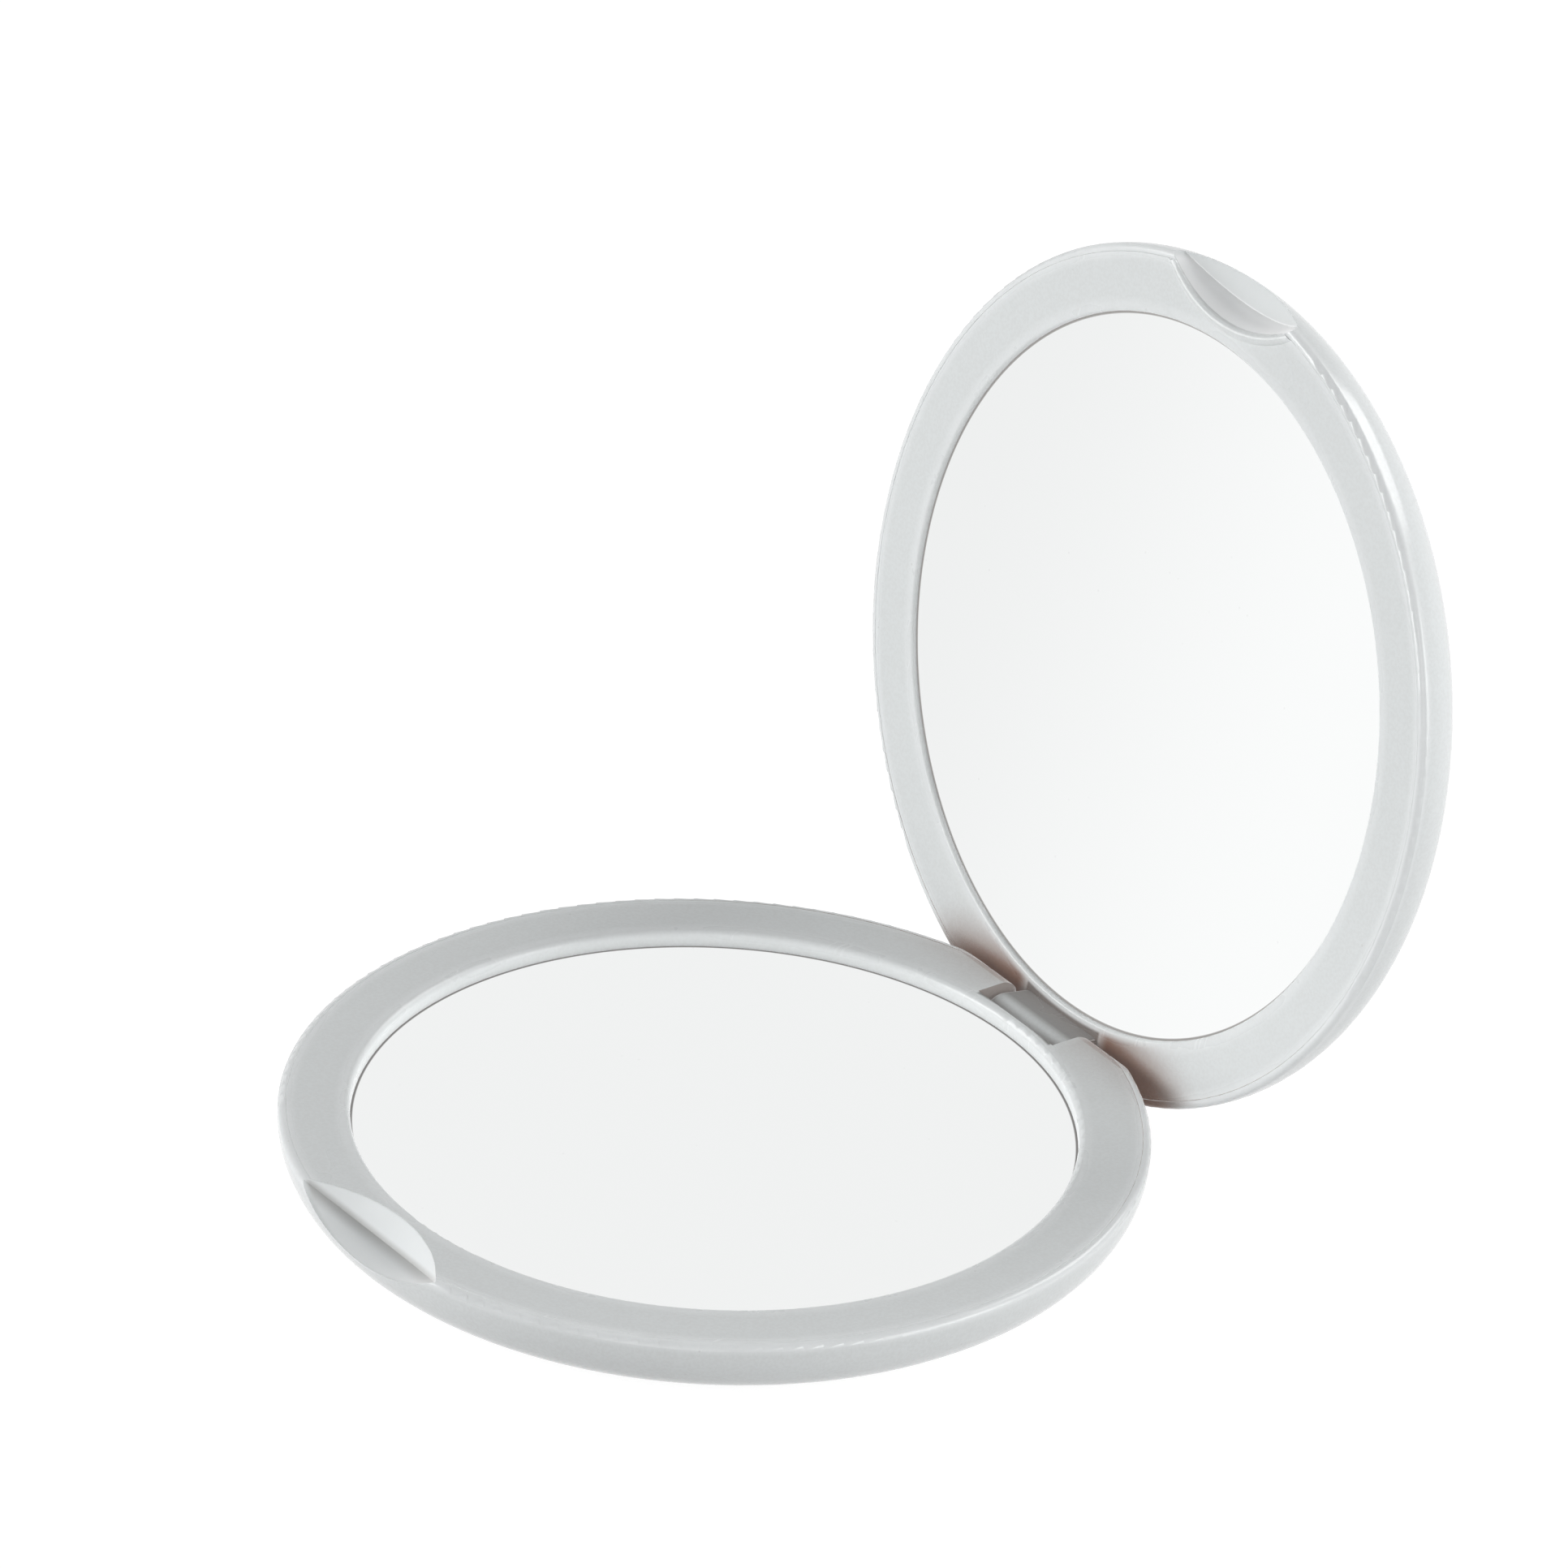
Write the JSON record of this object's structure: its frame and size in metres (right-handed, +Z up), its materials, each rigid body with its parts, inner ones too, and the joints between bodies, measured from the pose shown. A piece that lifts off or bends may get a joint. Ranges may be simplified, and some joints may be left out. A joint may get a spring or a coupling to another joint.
{
  "type": "compact mirror",
  "caption": "Round pocket compact with a hinged lid, a recessed glass mirror in each half, soft-edged plastic covers and thumb scallops at the front for opening.",
  "frame": {"origin": "middle of the base's flat underside", "axes": "+Z up out of the base's mirror, +Y from the thumb scallop towards the hinge, X along the hinge pin; stored with the lid open"},
  "size_m": [0.07, 0.0867, 0.0681],
  "materials": {
    "cover_plastic": "polished pale grey-white moulded plastic",
    "frame_plastic": "smooth pale grey-white moulded plastic",
    "mirror_glass": "back-silvered flat glass",
    "foam_tape": "matt closed-cell foam, adhesive both sides",
    "plated_magnet": "nickel-plated bar magnet",
    "pin_steel": "drawn steel wire"
  },
  "bodies": {
    "base": {"base_cover": "cover_plastic", "base_frame": "frame_plastic", "base_mirror": "mirror_glass", "base_mirror_tape": "foam_tape", "base_magnets": "plated_magnet", "hinge_pin": "pin_steel"},
    "lid": {"lid_cover": "cover_plastic", "lid_frame": "frame_plastic", "lid_mirror": "mirror_glass", "lid_mirror_tape": "foam_tape", "lid_magnets": "plated_magnet"}
  },
  "joints": [
    {"name": "lid_hinge", "type": "hinge", "parent": "base", "child": "lid", "pos_m": [0, 0.032, 0.00364], "axis": [1, 0, 0], "range_deg": [0, 101]}
  ]
}
